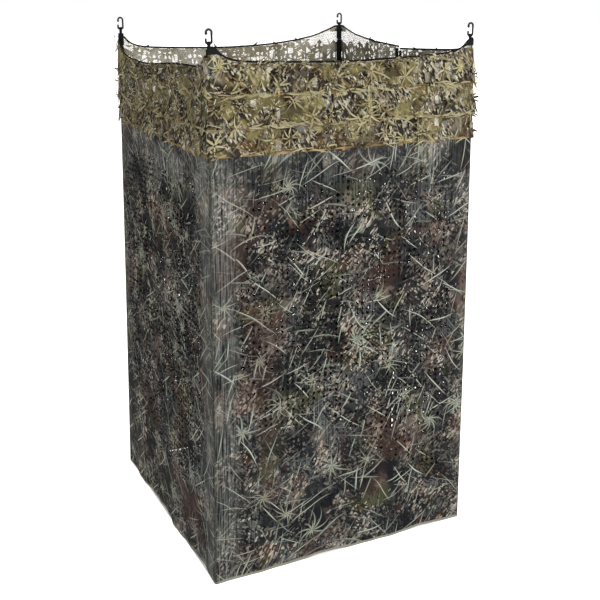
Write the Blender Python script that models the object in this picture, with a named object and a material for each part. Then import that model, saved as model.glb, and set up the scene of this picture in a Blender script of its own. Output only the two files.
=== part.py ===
"""Upright four-pole field blind: a square, open-topped fabric hide.

Units are metres.  +Z is up, the ground is z = 0 and the plan centre is the
origin.  The front wall faces -Y, the left wall -X, the back wall +Y and the
split door wall +X.  Every wall hangs between two corner poles, and every
pole axis is also the fold line of the two walls that meet there.  An empty
stands on each fold line and carries the pieces that swing about it.
"""
import math

import bmesh
import bpy
from mathutils import Vector

# ---------------------------------------------------------------- plan
POLE_OFFSET = 0.464          # pole axes stand at +/- this in X and Y
EDGE_CLEAR = 0.0145          # cloth starts this far from a pole axis
DOOR_GAP = 0.004             # slit between the two door flaps

# ------------------------------------------------------------- heights
CLOTH_BOTTOM = 0.004
BAND_BOTTOM = 1.450          # seam between printed cloth and leafy mesh
SEAM_GAP = 0.0005
HEM_LOW = {                  # sagging top edge of each wall, at mid-wall
    "front": 1.7335,
    "left": 1.7060,
    "back": 1.7170,
    "door_rear": 1.7350,
    "door_front": 1.7350,
}
HEM_SKEW = {"left": 0.012}   # higher near the wall's first pole
HEM_SLACK = {"door_front": 0.007}   # extra droop at the flap's free edge
HEM_PULL = {                 # long taut rise to the first and last pole, in place
    "back": (0.0, 0.065),    # of the short peak
    "door_rear": (0.046, 0.0),
}
HEM_PULL_LENGTH = 0.13
HEM_SAG = 0.016
HEM_PEAK = 0.070
HEM_PEAK_LENGTH = 0.026
HOOK_AXIS_Z = 1.803

# --------------------------------------------------------- thicknesses
CLOTH_HALF = 0.0008
MESH_HALF = 0.0006
HEM_HALF = 0.0017
HEM_HEIGHT = 0.0056
LEAF_LAYERS = {              # outward start and end of each leaf strip
    "top": (0.0084, 0.0114),
    "middle": (0.0050, 0.0080),
    "bottom": (0.0016, 0.0046),
}
LEAF_HEIGHTS = {             # sewn edge, shortest and longest blade ends
    "top": (None, 1.665, 1.634),      # the top strip starts just under the hem
    "middle": (1.657, 1.585, 1.536),
    "bottom": (1.560, 1.490, 1.438),
}
BLADE_PITCH = 0.034
LEAF_END_CLEAR = 0.020

# ------------------------------------------------------- corner pieces
SLEEVE_OUTER, SLEEVE_INNER = 0.0093, 0.0082
SLEEVE_SPAN = (0.032, 1.737)
POLE_OUTER, POLE_INNER = 0.0070, 0.0058
POLE_SPAN = (0.0045, 1.7765)
FOOT_OUTER, FOOT_SOCKET = 0.0105, 0.0072
FOOT_HEIGHT, FOOT_SOLE = 0.028, 0.004
POCKET_OUTER, POCKET_SOCKET = 0.0100, 0.0074
POCKET_SPAN, POCKET_ROOF = (1.742, 1.7865), 1.7785
LOOP_WIDTH, LOOP_OUTER, LOOP_INNER = 0.0095, 0.0056, 0.0038
NECK_HALF = 0.0013
GUSSET_LAYER = (0.0029, 0.0047)
GUSSET_LENGTH = 0.050
GUSSET_DEPTH = (0.036, 0.006)     # at the pole and at the far end
SIDES = 32

# ----------------------------------------------------------- materials
LOOKS = {                    # linear colour, roughness, metallic
    "printed_cloth": ((0.16, 0.155, 0.14), 0.90, 0.0),
    "netting": ((0.42, 0.38, 0.30), 0.90, 0.0),
    "leaf_cloth": ((0.36, 0.29, 0.18), 0.85, 0.0),
    "black_webbing": ((0.020, 0.020, 0.022), 0.75, 0.0),
    "sleeve_cloth": ((0.022, 0.022, 0.024), 0.85, 0.0),
    "pole_tube": ((0.030, 0.030, 0.032), 0.45, 0.0),
    "rubber": ((0.025, 0.025, 0.025), 0.80, 0.0),
    "hook_plastic": ((0.015, 0.015, 0.016), 0.35, 0.0),
}

# --------------------------------------------------------------- hooks
WIRE = 0.0032
TIP = 0.0041
HOOK_HALF = 0.0092
HOOK_BEND = 0.0042
HOOK_STEM = 0.027
HOOK_CURL = 0.0088
KEEPER = 0.0135

# ------------------------------------------------------- door closure
TAB_WIDTH, TAB_HEIGHT = 0.0115, 0.040
TAB_TOP_DROP = 0.004
TAB_LAYER = (-0.0052, -0.0012)


def clear_scene():
    for old in list(bpy.data.objects):
        bpy.data.objects.remove(old, do_unlink=True)


def material(slot):
    found = bpy.data.materials.get(slot)
    if found:
        return found
    colour, roughness, metallic = LOOKS[slot]
    made = bpy.data.materials.new(slot)
    made.use_nodes = True
    shader = made.node_tree.nodes["Principled BSDF"]
    shader.inputs["Base Color"].default_value = (*colour, 1.0)
    shader.inputs["Roughness"].default_value = roughness
    shader.inputs["Metallic"].default_value = metallic
    return made


def pivot(name, x, y, parent=None):
    """An empty standing on a fold line."""
    empty = bpy.data.objects.new(name, None)
    empty.empty_display_size = 0.15
    bpy.context.scene.collection.objects.link(empty)
    hang(empty, (x, y, 0.0), parent)
    return empty


def hang(obj, spot, parent):
    """Put an object at a world position under a parent that has no rotation."""
    base = Vector((0.0, 0.0, 0.0))
    step = parent
    while step:
        base += step.location
        step = step.parent
    obj.parent = parent
    obj.location = Vector(spot) - base


def place(name, bm, slot=None, smooth=False):
    """Turn a closed bmesh into a named object with its faces outward."""
    bmesh.ops.recalc_face_normals(bm, faces=bm.faces)
    mesh = bpy.data.meshes.new(name)
    bm.to_mesh(mesh)
    bm.free()
    if slot:
        mesh.materials.append(material(slot))
    if smooth:
        mesh.shade_smooth()
        mesh.set_sharp_from_angle(angle=math.radians(40.0))
    obj = bpy.data.objects.new(name, mesh)
    bpy.context.scene.collection.objects.link(obj)
    return obj


# ------------------------------------------------------- basic solids
def slab(name, wall, columns, layer, slot):
    """A thin plate on a wall; columns are (along, low z, high z)."""
    bm = bmesh.new()
    rings = []
    near, far = (wall.side * out for out in layer)
    for along, low, high in columns:
        corners = ((near, low), (far, low), (far, high), (near, high))
        rings.append([bm.verts.new((along, across, z)) for across, z in corners])
    for left, right in zip(rings, rings[1:]):
        for i in range(4):
            j = (i + 1) % 4
            bm.faces.new((left[i], left[j], right[j], right[i]))
    bm.faces.new(rings[0])
    bm.faces.new(reversed(rings[-1]))
    obj = place(name, bm, slot)
    hang(obj, (wall.start[0], wall.start[1], 0.0), wall.carrier)
    obj.rotation_euler.z = wall.heading
    return obj


def lathe(profile, sides=SIDES):
    """Revolve a closed (radius, z) outline about the local Z axis."""
    bm = bmesh.new()
    rings = []
    for radius, z in profile:
        if radius < 1e-9:
            rings.append([bm.verts.new((0.0, 0.0, z))])
            continue
        ring = []
        for i in range(sides):
            turn = 2.0 * math.pi * i / sides
            ring.append(bm.verts.new((radius * math.cos(turn), radius * math.sin(turn), z)))
        rings.append(ring)
    for a, b in zip(rings, rings[1:] + rings[:1]):
        if len(a) == 1 and len(b) == 1:
            continue
        for i in range(sides):
            j = (i + 1) % sides
            if len(a) == 1:
                bm.faces.new((a[0], b[j], b[i]))
            elif len(b) == 1:
                bm.faces.new((a[i], a[j], b[0]))
            else:
                bm.faces.new((a[i], a[j], b[j], b[i]))
    return bm


def tube(outer, inner, low, high):
    return [(outer, low), (outer, high), (inner, high), (inner, low)]


def bar_x(radius, half, height, sides=24):
    """A round bar along the local X axis."""
    bm = bmesh.new()
    ends = []
    for side in (-half, half):
        ring = []
        for i in range(sides):
            turn = 2.0 * math.pi * i / sides
            ring.append(bm.verts.new((side, radius * math.cos(turn),
                                      height + radius * math.sin(turn))))
        ends.append(ring)
    for i in range(sides):
        j = (i + 1) % sides
        bm.faces.new((ends[0][i], ends[0][j], ends[1][j], ends[1][i]))
    bm.faces.new(ends[0])
    bm.faces.new(reversed(ends[1]))
    return bm


def block(low, high):
    bm = bmesh.new()
    bmesh.ops.create_cube(bm, size=1.0)
    for vert in bm.verts:
        for k in range(3):
            vert.co[k] = low[k] + (vert.co[k] + 0.5) * (high[k] - low[k])
    return bm


def combine(base, tool, operation):
    """Apply a Boolean and drop the tool."""
    modifier = base.modifiers.new("shape", "BOOLEAN")
    modifier.operation = operation
    modifier.solver = "EXACT"
    modifier.object = tool
    graph = bpy.context.evaluated_depsgraph_get()
    result = bpy.data.meshes.new_from_object(base.evaluated_get(graph))
    base.modifiers.clear()
    base.data = result
    bpy.data.objects.remove(tool, do_unlink=True)


# --------------------------------------------------------------- walls
class Wall:
    """A vertical wall plane that starts at a pole axis.

    Local X runs along the wall and local Y across it; side is +1 where the
    outside of the hide lies on the local +Y side, and -1 where it doesn't.
    """

    def __init__(self, name, start, heading, side, ends_at_pole, carrier):
        self.name = name
        self.start = start
        self.heading = math.radians(heading)
        self.side = side
        self.ends_at_pole = ends_at_pole
        self.carrier = carrier
        self.first = EDGE_CLEAR
        if ends_at_pole:
            self.last = 2.0 * POLE_OFFSET - EDGE_CLEAR
        else:
            self.last = POLE_OFFSET - DOOR_GAP / 2.0

    def hem(self, along):
        """Height of the cloth's top edge, sagging away from each pole."""
        from_pole = min(along, 2.0 * POLE_OFFSET - along)
        share = from_pole / POLE_OFFSET
        sag = HEM_SAG * (1.0 - share) ** 1.5
        first, last = HEM_PULL.get(self.name, (0.0, 0.0))
        pull = first * math.exp(-along / HEM_PULL_LENGTH)
        pull += last * math.exp((along - 2.0 * POLE_OFFSET) / HEM_PULL_LENGTH)
        taut = first if along < POLE_OFFSET else last
        peak = 0.0 if taut else HEM_PEAK * math.exp(-from_pole / HEM_PEAK_LENGTH)
        skew = HEM_SKEW.get(self.name, 0.0) * math.sin(math.pi * along / POLE_OFFSET)
        slack = HEM_SLACK.get(self.name, 0.0) * share ** 2
        return HEM_LOW[self.name] + sag + peak + pull + skew - slack

    def stations(self):
        """Columns along the wall, closer together beside the poles."""
        near = [self.first + step for step in
                (0.0, 0.004, 0.009, 0.015, 0.023, 0.034, 0.050, 0.075, 0.110)]
        span = self.last - self.first
        if self.ends_at_pole:
            mirrored = [self.first + self.last - s for s in reversed(near)]
            count = 11
            middle = [near[-1] + (span - 0.220) * k / count for k in range(1, count)]
            return near + middle + mirrored
        count = 7
        rest = [near[-1] + (span - 0.110) * k / count for k in range(1, count + 1)]
        return near + rest


def panels(wall):
    stations = wall.stations()
    slab(wall.name + "_camo_panel", wall,
         [(s, CLOTH_BOTTOM, BAND_BOTTOM - SEAM_GAP) for s in stations],
         (-CLOTH_HALF, CLOTH_HALF), "printed_cloth")
    slab(wall.name + "_mesh_band", wall,
         [(s, BAND_BOTTOM + SEAM_GAP, wall.hem(s)) for s in stations],
         (-MESH_HALF, MESH_HALF), "netting")
    slab(wall.name + "_top_hem", wall,
         [(s, wall.hem(s) + SEAM_GAP, wall.hem(s) + SEAM_GAP + HEM_HEIGHT)
          for s in stations],
         (-HEM_HALF, HEM_HALF), "black_webbing")


def leaf_strip(wall, row, index):
    """A strip cut into hanging blades of uneven length."""
    sewn, short, long_end = LEAF_HEIGHTS[row]
    if sewn is None:
        sewn = min(wall.hem(s) for s in wall.stations()) - 0.004
    first = LEAF_END_CLEAR
    last = wall.last - (LEAF_END_CLEAR - EDGE_CLEAR if wall.ends_at_pole else 0.006)
    count = int(round((last - first) / BLADE_PITCH))
    pitch = (last - first) / count
    notch = sewn - 0.022
    columns = [(first, notch, sewn)]
    for k in range(count):
        blend = 0.5 + 0.5 * math.sin(2.3 * k + 1.7 * index)
        tip = short + (long_end - short) * blend
        lean = 0.5 + 0.22 * math.sin(1.3 * k + index)
        start = first + k * pitch
        columns.append((start + pitch * lean, tip, sewn))
        columns.append((start + pitch, notch, sewn))
    slab("%s_leaf_strip_%s" % (wall.name, row), wall, columns, LEAF_LAYERS[row],
         "leaf_cloth")


def gusset(wall, at_start):
    """Webbing triangle that gathers the wall's top corner to the pole."""
    steps = (0.0155, 0.020, 0.026, 0.034, 0.044, GUSSET_LENGTH)
    columns = []
    for step in steps:
        along = step if at_start else 2.0 * POLE_OFFSET - step
        top = wall.hem(along) - 0.0015
        share = (step - steps[0]) / (steps[-1] - steps[0])
        depth = GUSSET_DEPTH[0] + (GUSSET_DEPTH[1] - GUSSET_DEPTH[0]) * share
        columns.append((along, top - depth, top))
    side = "start" if at_start else "end"
    slab("%s_corner_gusset_%s" % (wall.name, side), wall, columns, GUSSET_LAYER,
         "black_webbing")


def closure(wall):
    """One half of the door's closing patch, inside the flap's free edge."""
    first = wall.last - TAB_WIDTH
    top = wall.hem(wall.last) - TAB_TOP_DROP
    slab(wall.name + "_closure", wall,
         [(first, top - TAB_HEIGHT, top), (wall.last, top - TAB_HEIGHT, top)],
         TAB_LAYER, "black_webbing")


# ------------------------------------------------------------- corners
def turned(name, profile, slot, spot, carrier):
    obj = place(name, lathe(profile), slot, smooth=True)
    hang(obj, spot, carrier)
    return obj


def corner(name, x, y, carrier):
    """Everything that stands on one pole axis."""
    spot = (x, y, 0.0)
    turned("pole_" + name, tube(POLE_OUTER, POLE_INNER, *POLE_SPAN),
           "pole_tube", spot, carrier)
    turned("pole_sleeve_" + name, tube(SLEEVE_OUTER, SLEEVE_INNER, *SLEEVE_SPAN),
           "sleeve_cloth", spot, carrier)
    foot = [(0.0, 0.0), (FOOT_OUTER - 0.001, 0.0), (FOOT_OUTER, 0.001),
            (FOOT_OUTER, FOOT_HEIGHT - 0.002), (FOOT_OUTER - 0.001, FOOT_HEIGHT),
            (FOOT_SOCKET, FOOT_HEIGHT), (FOOT_SOCKET, FOOT_SOLE), (0.0, FOOT_SOLE)]
    turned("foot_cap_" + name, foot, "rubber", spot, carrier)
    low, high = POCKET_SPAN
    cup = [(0.0, high), (0.0, POCKET_ROOF), (POCKET_SOCKET, POCKET_ROOF),
           (POCKET_SOCKET, low), (POCKET_OUTER, low), (POCKET_OUTER, high - 0.003),
           (POCKET_OUTER - 0.002, high - 0.0006), (POCKET_OUTER - 0.004, high)]
    pocket = place("hook_loop_" + name, lathe(cup), "black_webbing", smooth=True)
    half = LOOP_WIDTH / 2.0
    neck = place("neck", block((-half, -NECK_HALF, high - 0.002),
                               (half, NECK_HALF, HOOK_AXIS_Z)))
    combine(pocket, neck, "UNION")
    ring = place("ring", bar_x(LOOP_OUTER, half, HOOK_AXIS_Z))
    combine(pocket, ring, "UNION")
    bore = place("bore", bar_x(LOOP_INNER, half + 0.002, HOOK_AXIS_Z))
    combine(pocket, bore, "DIFFERENCE")
    hang(pocket, spot, carrier)
    hook(name, (x, y, HOOK_AXIS_Z), carrier)


def arc(centre, radius, start, end, count):
    points = []
    for k in range(count + 1):
        turn = math.radians(start + (end - start) * k / count)
        points.append((centre[0] + radius * math.cos(turn),
                       centre[1] + radius * math.sin(turn)))
    return points


def hook_path():
    """Centre line of the hook in its own plane, from keeper to tip."""
    bend = HOOK_BEND
    path = [(-HOOK_HALF, KEEPER), (-HOOK_HALF, KEEPER * 0.55)]
    path += arc((-HOOK_HALF + bend, bend), bend, 180, 270, 5)
    path += arc((HOOK_HALF - bend, bend), bend, 270, 360, 5)
    path += [(HOOK_HALF, HOOK_STEM * 0.5)]
    path += arc((HOOK_HALF - HOOK_CURL, HOOK_STEM + 0.004), HOOK_CURL, 0, 165, 14)
    path += [(-HOOK_HALF + 0.0012, HOOK_STEM - 0.001)]
    return path


def hook(name, axis, carrier, sides=12):
    """Open wire hook: base bar, curled stem with a blob tip, short keeper.

    Its origin is on the base bar, about which it tilts.
    """
    path = hook_path()
    radii = [WIRE] * len(path)
    radii[-1] = TIP
    bm = bmesh.new()
    rings = []
    for k, (px, pz) in enumerate(path):
        before = path[max(k - 1, 0)]
        after = path[min(k + 1, len(path) - 1)]
        along = Vector((after[0] - before[0], 0.0, after[1] - before[1])).normalized()
        across = Vector((along.z, 0.0, -along.x))
        ring = []
        for i in range(sides):
            turn = 2.0 * math.pi * i / sides
            offset = across * math.cos(turn) + Vector((0.0, 1.0, 0.0)) * math.sin(turn)
            ring.append(bm.verts.new(Vector((px, 0.0, pz)) + offset * radii[k]))
        rings.append(ring)
    for a, b in zip(rings, rings[1:]):
        for i in range(sides):
            j = (i + 1) % sides
            bm.faces.new((a[i], a[j], b[j], b[i]))
    for ring, inward in ((rings[0], 1), (rings[-1], -2)):
        centre = sum((v.co for v in ring), Vector()) / sides
        near = rings[inward][0].co - ring[0].co
        cap = bm.verts.new(centre - near.normalized() * (ring[0].co - centre).length * 0.6)
        for i in range(sides):
            bm.faces.new((ring[i], ring[(i + 1) % sides], cap))
    hang(place("hook_" + name, bm, "hook_plastic", smooth=True), axis, carrier)


def main():
    clear_scene()
    far = POLE_OFFSET
    left_fold = pivot("left_fold", -far, -far)
    back_fold = pivot("back_fold", -far, far, left_fold)
    back_right_fold = pivot("back_right_fold", far, far, back_fold)
    rear_hinge = pivot("door_rear_hinge", far, far, back_right_fold)
    front_right_fold = pivot("front_right_fold", far, -far)
    front_hinge = pivot("door_front_hinge", far, -far, front_right_fold)
    walls = [
        Wall("front", (-far, -far), 0.0, -1, True, None),
        Wall("left", (-far, -far), 90.0, 1, True, left_fold),
        Wall("back", (-far, far), 0.0, 1, True, back_fold),
        Wall("door_rear", (far, far), -90.0, 1, False, rear_hinge),
        Wall("door_front", (far, -far), 90.0, -1, False, front_hinge),
    ]
    for number, wall in enumerate(walls):
        panels(wall)
        for step, row in enumerate(("top", "middle", "bottom")):
            leaf_strip(wall, row, 3 * number + step)
        gusset(wall, True)
        if wall.ends_at_pole:
            gusset(wall, False)
        else:
            closure(wall)
    corner("front_left", -far, -far, None)
    corner("front_right", far, -far, front_right_fold)
    corner("back_left", -far, far, left_fold)
    corner("back_right", far, far, back_right_fold)


main()
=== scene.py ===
"""Looks of the upright field blind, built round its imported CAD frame.

Each cloth wall is a printed sheet with leaf shapes cut in it, a see-through
netting band above it with three rows of leafy strips, and a black binding
along the top.  Poles, sleeves, caps, loops and hooks are the CAD solids.
Lengths are metres in the CAD frame.
"""
import math
import random

import bpy
import numpy as np
from mathutils import Matrix, Vector


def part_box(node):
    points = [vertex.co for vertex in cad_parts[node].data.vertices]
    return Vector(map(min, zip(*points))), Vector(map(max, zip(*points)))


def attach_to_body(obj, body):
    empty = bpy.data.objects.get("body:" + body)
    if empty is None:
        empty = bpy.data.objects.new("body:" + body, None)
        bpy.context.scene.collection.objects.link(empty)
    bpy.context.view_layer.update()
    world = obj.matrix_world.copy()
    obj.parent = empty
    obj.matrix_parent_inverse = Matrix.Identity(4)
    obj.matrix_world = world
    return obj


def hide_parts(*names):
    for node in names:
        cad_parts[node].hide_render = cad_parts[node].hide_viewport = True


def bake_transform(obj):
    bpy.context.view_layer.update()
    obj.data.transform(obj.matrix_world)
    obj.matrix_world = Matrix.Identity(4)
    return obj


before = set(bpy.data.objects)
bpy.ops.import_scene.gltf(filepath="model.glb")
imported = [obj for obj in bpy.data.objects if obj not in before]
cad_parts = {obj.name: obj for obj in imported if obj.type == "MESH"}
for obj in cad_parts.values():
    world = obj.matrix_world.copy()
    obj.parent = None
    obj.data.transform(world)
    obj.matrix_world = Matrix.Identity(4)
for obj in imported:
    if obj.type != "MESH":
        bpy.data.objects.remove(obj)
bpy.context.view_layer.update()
FULL_TURN = 2.0 * math.pi

# ------------------------------------------------------------ from the frame
ROWS = ("top", "middle", "bottom")
ROW_RAISE = (0.008, 0.008, 0.028)     # the strips' lower edges, curled up in wear
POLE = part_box("pole_front_right")
POLE_OFFSET = (POLE[0].x + POLE[1].x) / 2.0
CLOTH_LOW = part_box("front_camo_panel")[0].z
BAND_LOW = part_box("front_camo_panel")[1].z + 0.012    # the seam as worn, pulled up a little
ROW_TOPS = [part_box("front_leaf_strip_" + row)[1].z for row in ROWS]
ROW_ENDS = [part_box("front_leaf_strip_" + row)[0].z + raised
            for row, raised in zip(ROWS, ROW_RAISE)]
DOOR_GAP = 0.001                  # between the free edges of the two flaps

# ------------------------------------------------------------------- drape
TOP_HEIGHT = 1.75                 # above this the cloth hugs the pole sleeves
TOP_OFFSET = 0.0105               # cloth outside the pole axes at the top
FLARE = {                         # the same at the ground, and the power by which it grows
    "front_left": (0.0458, 1.1),
    "front_right": (0.033, 0.65),
    "back_left": (0.0460, 1.1),
    "back_right": (0.035, 0.8),
}
FOOT_LINE = min(CLOTH_LOW, 0.0010)    # the printed cloth just clears the ground
CORNER_RADIUS = 0.0105            # of the cloth's bend at a corner
CORNER_TAKE_UP = 0.021            # cloth that a corner takes beyond its pole axis
CORNER_PART = 0.075               # cloth this near a seam is made as a separate corner piece
SEAM_COLUMNS = [0.0, 0.0035, 0.0070, 0.0105, 0.0145, 0.020]     # close where cloth bends
SEAM_REACH = 0.013                # the corner seam's colour fades out over this
FADE_NEAR, FADE_FAR = 0.120, 0.480    # and the plain stripes beside a wall's two seams
RIPPLE_WINDOW = 0.13              # the waves grow to full height over this
FOLD_CREASES = (0.235, 0.47, 0.71)    # where packing leaves upright creases
NET_TUCK = 0.006                  # netting sewn in below the band's seam
NET_ROWS = 14                     # faces over its height
NET_PITCH = 0.0042                # of its threads
WEB_LOW = 1.771                   # lower edge of the black corner webs
TAPE_HALF = (0.0017, 0.0033)      # half the binding's thickness and height
PATCH_WIDTH = 0.019               # of each half of the closing tab
END_ROOM = 0.004                  # loose leaves keep this far from a sheet's ends
DOOR_EDGE_ROOM = 0.066            # and this far from a flap's free edge

# --------------------------------------------------------------- cut leaves
CELL = 0.0200                     # pitch of the leaf cuts in the printed sheet
ROW_CELL = 0.021                  # and in the leafy strips
MARGIN_SIDE, MARGIN_LOW, MARGIN_HIGH = 0.098, 0.20, 1.355
LEAF_OUTLINE = ((-0.90, 0.34), (-0.30, 0.92), (0.32, 0.78), (1.0, 0.0))

# ------------------------------------------------------------------- print
PRINT_START = {"front": 3.0, "left": 7.3, "back": 11.1, "door_rear": 15.7, "door_front": 19.2}
STRAW_LINE = 4.0                  # print height of a leafy strip's lower edge
DYE_STRENGTH = 0.52               # share of a written colour that the cloth takes


def srgb(code):
    """A colour written like #8b8d80, as linear red, green, blue and alpha."""
    shown = [int(code[i:i + 2], 16) / 255.0 for i in (1, 3, 5)]
    linear = [c / 12.92 if c <= 0.04045 else ((c + 0.055) / 1.055) ** 2.4 for c in shown]
    return (*linear, 1.0)


def dye(code):
    """The cloth colour that looks like the code in this bright studio."""
    return (*(c * DYE_STRENGTH for c in srgb(code)[:3]), 1.0)


# ==================================================================== nodes
class Signal:
    """A shader output that takes part in sums and products."""

    def __init__(self, nodes, socket):
        self.nodes = nodes
        self.socket = socket

    def __add__(self, other):
        return self.nodes.math("ADD", self, other)

    def __sub__(self, other):
        return self.nodes.math("SUBTRACT", self, other)

    def __rsub__(self, other):
        return self.nodes.math("SUBTRACT", other, self)

    def __mul__(self, other):
        return self.nodes.math("MULTIPLY", self, other)

    def __truediv__(self, other):
        return self.nodes.math("DIVIDE", self, other)

    def __abs__(self):
        return self.nodes.math("ABSOLUTE", self)


class Nodes:
    """Short ways to add shader nodes and join them."""

    def __init__(self, tree):
        self.tree = tree

    def put(self, socket, value):
        if isinstance(value, Signal):
            self.tree.links.new(value.socket, socket)
        else:
            socket.default_value = value

    def wire(self, kind, settings, inputs, *outputs):
        """Add a node, fill its inputs by name or place, and hand out its outputs."""
        node = self.tree.nodes.new("ShaderNode" + kind)
        for key, value in settings.items():
            setattr(node, key, value)
        for key, value in inputs.items():
            self.put(node.inputs[key], value)
        results = [Signal(self, node.outputs[key]) for key in outputs]
        return results[0] if len(results) == 1 else results

    def math(self, operation, a, b=0.0):
        return self.wire("Math", {"operation": operation}, {0: a, 1: b}, 0)

    def sine(self, value):
        return self.math("SINE", value)

    def vector(self, operation, a, b):
        return self.wire("VectorMath", {"operation": operation}, {0: a, 1: b}, 0)

    def parts(self, vector):
        return self.wire("SeparateXYZ", {}, {0: vector}, 0, 1, 2)

    def join(self, x, y, z=0.0):
        return self.wire("CombineXYZ", {}, {0: x, 1: y, 2: z}, 0)

    def turned(self, vector, angle):
        return self.wire("VectorRotate", {"rotation_type": "Z_AXIS"},
                         {"Vector": vector, "Angle": angle}, 0)

    def step(self, value, low, high):
        """0 below low, 1 above high, and smooth between them."""
        return self.wire("MapRange", {"interpolation_type": "SMOOTHSTEP"},
                         {"Value": value, "From Min": low, "From Max": high}, "Result")

    def mix(self, share, a, b):
        return self.wire("Mix", {"data_type": "RGBA"}, {0: share, 6: a, 7: b}, 2)

    def shade(self, share, dark, light):
        """A cloth colour between two dyes."""
        return self.mix(share, dye(dark), dye(light))

    def contrast(self, colour, power, gain):
        """Deepen the darks of a colour and lift its lights."""
        deep = self.wire("Gamma", {}, {"Color": colour, "Gamma": power}, "Color")
        return self.vector("MULTIPLY", deep, (gain, gain * 1.04, gain * 1.10))

    def noise(self, vector, scale, detail=2.0, flat=True, output="Fac"):
        settings = {"noise_dimensions": "2D" if flat else "3D"}
        return self.wire("TexNoise", settings,
                         {"Vector": vector, "Scale": scale, "Detail": detail}, output)

    def cells(self, vector, randomness=1.0):
        """Colour and centre of the cell that a point is in."""
        return self.wire("TexVoronoi", {"voronoi_dimensions": "2D", "feature": "F1"},
                         {"Vector": vector, "Scale": 1.0, "Randomness": randomness},
                         "Color", "Position")

    def chance(self, vector):
        """A random value and a random colour for a place."""
        return self.wire("TexWhiteNoise", {"noise_dimensions": "3D"}, {"Vector": vector},
                         "Value", "Color")

    def attribute(self, name):
        return self.wire("Attribute", {"attribute_name": name}, {}, "Fac")

    def print_map(self):
        """Where a point lies on the flat printed cloth, in metres."""
        return self.wire("UVMap", {"uv_map": "Print"}, {}, 0)

    def solid_map(self):
        """Where a point of a CAD solid lies, in metres."""
        return self.wire("TexCoord", {}, {}, "Object")

    def send(self, label, value):
        """Set or feed one socket of the material's shader."""
        self.put(self.tree.nodes["Principled BSDF"].inputs[label], value)

    def bump(self, height, strength, distance):
        self.send("Normal", self.wire("Bump", {}, {
            "Strength": strength, "Distance": distance, "Height": height}, 0))


def group(name, labels):
    """A node group from a vector and some numbers to a mask and a shade."""
    tree = bpy.data.node_groups.new(name, "ShaderNodeTree")
    for label in labels:
        kind = "NodeSocketVector" if label == "Vector" else "NodeSocketFloat"
        tree.interface.new_socket(label, in_out="INPUT", socket_type=kind)
    for label in ("Mask", "Shade"):
        tree.interface.new_socket(label, in_out="OUTPUT", socket_type="NodeSocketFloat")
    nodes = Nodes(tree)
    entry = tree.nodes.new("NodeGroupInput")
    given = {label: Signal(nodes, entry.outputs[label]) for label in labels}
    return nodes, given, tree.nodes.new("NodeGroupOutput").inputs


def blades_group():
    """Scattered blades of grass, all leaning about one way.

    Mask is 1 on a blade.  Shade runs from 0 to 1 across it.
    """
    nodes, given, result = group("Blades", ("Vector", "Angle", "Width", "Length", "Seed",
                                            "Density"))
    bend = nodes.noise(given["Vector"], 3.2, 1.0, output="Color")
    bend = nodes.vector("MULTIPLY", nodes.vector("SUBTRACT", bend, (0.5, 0.5, 0.5)),
                        (0.10, 0.10, 0.0))
    turned = nodes.turned(nodes.vector("ADD", given["Vector"], bend), given["Angle"])
    size = nodes.join(given["Width"] * 4.0, given["Length"], 1.0)
    scaled = nodes.vector("DIVIDE", turned, size)
    moved = nodes.vector("ADD", scaled, nodes.join(given["Seed"], given["Seed"]))
    colour, centre = nodes.cells(moved)
    red, green, blue = nodes.parts(colour)
    x, y, _ = nodes.parts(nodes.vector("SUBTRACT", moved, centre))
    lean = (red - 0.5) * 1.5
    arch = (green - 0.5) * 1.6
    along = y * y
    aside = x + (lean * y + arch * along)
    luck, _ = nodes.chance(centre)
    taper = 1.0 - along * (luck * 22.0 + 4.4)
    inside = taper * (blue * 0.085 + 0.025) - abs(aside)
    kept = nodes.math("LESS_THAN", luck, given["Density"])
    nodes.put(result["Mask"], nodes.step(inside, 0.0, 0.035) * kept)
    nodes.put(result["Shade"], nodes.step(aside, -0.10, 0.10))
    return nodes.tree


def stars_group():
    """Tufts of blades that spread from one point, one tuft to a cell."""
    nodes, given, result = group("Stars", ("Vector", "Cell", "Seed", "Blade", "Density"))
    size = nodes.join(given["Cell"], given["Cell"], 1.0)
    moved = nodes.vector("ADD", nodes.vector("DIVIDE", given["Vector"], size),
                         nodes.join(given["Seed"], given["Seed"]))
    colour, centre = nodes.cells(moved, 0.85)
    red, green, _ = nodes.parts(colour)
    x, y, _ = nodes.parts(nodes.vector("SUBTRACT", moved, centre))
    reach = nodes.math("SQRT", x * x + y * y)
    turn = nodes.math("ARCTAN2", y, x) / FULL_TURN
    count = 11.0
    place = (turn + reach * (green - 0.5) + red) * count
    number = nodes.math("MODULO", nodes.math("FLOOR", place) + 10.0 * count, count)
    luck, draw = nodes.chance(nodes.join(number, red * 17.0, green * 31.0))
    shift, _, _ = nodes.parts(draw)
    aside = nodes.math("FRACT", place) - (shift * 0.5 + 0.25)
    across = abs(aside) * (FULL_TURN / count) * reach
    taper = (1.0 - reach / (luck * 0.42 + 0.12)) * given["Blade"]
    some, _ = nodes.chance(centre)
    kept = nodes.math("LESS_THAN", some, given["Density"])
    nodes.put(result["Mask"], nodes.step(taper - across, 0.0, 0.008) * kept)
    nodes.put(result["Shade"], nodes.step(aside, -0.3, 0.3))
    return nodes.tree


BLADES = blades_group()
STARS = stars_group()


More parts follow.
